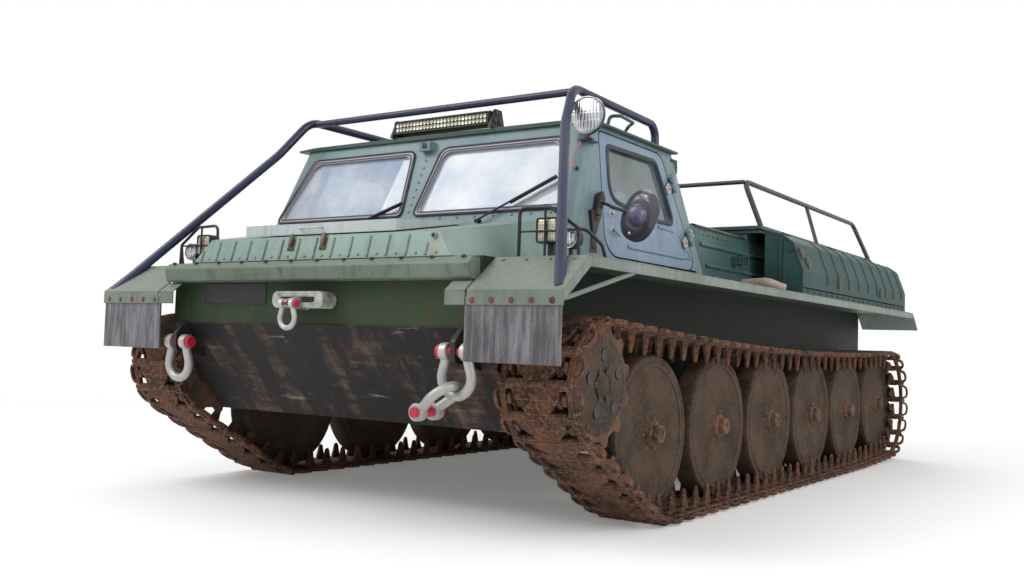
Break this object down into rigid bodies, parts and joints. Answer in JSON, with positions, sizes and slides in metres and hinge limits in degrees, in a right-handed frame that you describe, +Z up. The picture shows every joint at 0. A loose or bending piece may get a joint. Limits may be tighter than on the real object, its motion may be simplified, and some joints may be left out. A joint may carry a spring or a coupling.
{
  "type": "tracked all-terrain vehicle",
  "caption": "Light tracked carrier with a two-seat cab, an open load well, a covered rear body with side lockers, tube guards and a luggage rail.",
  "frame": {"origin": "on the ground under the middle of the overall length and width", "axes": "+Z up, the front faces -Y, the vehicle's left side is +X"},
  "size_m": [2.582, 5.365, 1.893],
  "materials": {
    "hull_paint": "worn satin",
    "nose_paint": "weathered satin",
    "lid_paint": "weathered satin",
    "cab_paint": "weathered satin",
    "door_paint": "weathered satin",
    "roof_paint": "weathered satin",
    "fender_paint": "worn satin",
    "body_paint": "weathered satin",
    "tube_paint": "satin",
    "black_metal": "satin",
    "shackle_steel": "galvanised",
    "rusty_steel": "rusty",
    "wheel_steel": "rusty",
    "arm_iron": "oily",
    "glass": "clear",
    "lamp_glass": "ribbed",
    "seal_rubber": "matte",
    "flap_rubber": "matte",
    "lead_rubber": "matte",
    "seat_vinyl": "worn",
    "dash_plastic": "matte",
    "mirror_plastic": "matte"
  },
  "bodies": {
    "hull": {"bow_fittings": "hull_paint", "brush_guard": "tube_paint", "cab_front": "cab_paint", "cab_rear": "cab_paint", "cab_roof": "roof_paint", "cab_sides": "cab_paint", "controls": "dash_plastic", "engine_block": "arm_iron", "exhaust_pipe": "rusty_steel", "fenders": "fender_paint", "floor_plates": "hull_paint", "hood": "nose_paint", "hull_tub": "hull_paint", "lamp_guards": "black_metal", "lamps": "lamp_glass", "left_track": "rusty_steel", "light_bar": "black_metal", "load_cover": "body_paint", "load_walls": "body_paint", "luggage_rail": "tube_paint", "mirror": "mirror_plastic", "mud_flaps": "flap_rubber", "rear_body": "body_paint", "right_track": "rusty_steel", "road_wheels": "wheel_steel", "searchlight": "black_metal", "searchlight_lead": "lead_rubber", "seats": "seat_vinyl", "side_boxes": "body_paint", "sprockets": "rusty_steel", "suspension_arms": "arm_iron", "tow_hook": "arm_iron", "tow_shackles": "shackle_steel", "window_glass": "glass", "window_seals": "seal_rubber", "wipers": "black_metal"},
    "left_door": {"left_door": "door_paint", "left_door_glass": "glass"},
    "right_door": {"right_door": "door_paint", "right_door_glass": "glass"},
    "hood_lid": {"hood_lid": "lid_paint"},
    "roof_hatch": {"roof_hatch": "roof_paint"},
    "tailgate": {"tailgate": "body_paint"},
    "left_box_lid": {"left_box_lid": "body_paint"},
    "right_box_lid": {"right_box_lid": "body_paint"}
  },
  "joints": [
    {"name": "left_door_hinge", "type": "hinge", "parent": "hull", "child": "left_door", "pos_m": [0.92778, -0.8026, 1.3], "axis": [-0.0826, -0.5251, 0.847], "range_deg": [0, 80]},
    {"name": "right_door_hinge", "type": "hinge", "parent": "hull", "child": "right_door", "pos_m": [-0.92778, -0.8026, 1.3], "axis": [-0.0826, 0.5251, -0.847], "range_deg": [0, 80]},
    {"name": "hood_lid_hinge", "type": "hinge", "parent": "hull", "child": "hood_lid", "pos_m": [0, -2.0175, 1.26311], "axis": [-1, 0, 0], "range_deg": [0, 80]},
    {"name": "roof_hatch_hinge", "type": "hinge", "parent": "hull", "child": "roof_hatch", "pos_m": [-0.41, -1.5996, 1.7495], "axis": [1, 0, 0], "range_deg": [0, 100]},
    {"name": "tailgate_hinge", "type": "hinge", "parent": "hull", "child": "tailgate", "pos_m": [0, 2.3469, 1.084], "axis": [-1, 0, 0], "range_deg": [0, 90]},
    {"name": "left_box_lid_hinge", "type": "hinge", "parent": "hull", "child": "left_box_lid", "pos_m": [1.038, 1.2185, 1.43818], "axis": [0, -1, 0], "range_deg": [0, 75]},
    {"name": "right_box_lid_hinge", "type": "hinge", "parent": "hull", "child": "right_box_lid", "pos_m": [-1.038, 1.2185, 1.43818], "axis": [0, 1, 0], "range_deg": [0, 75]}
  ]
}
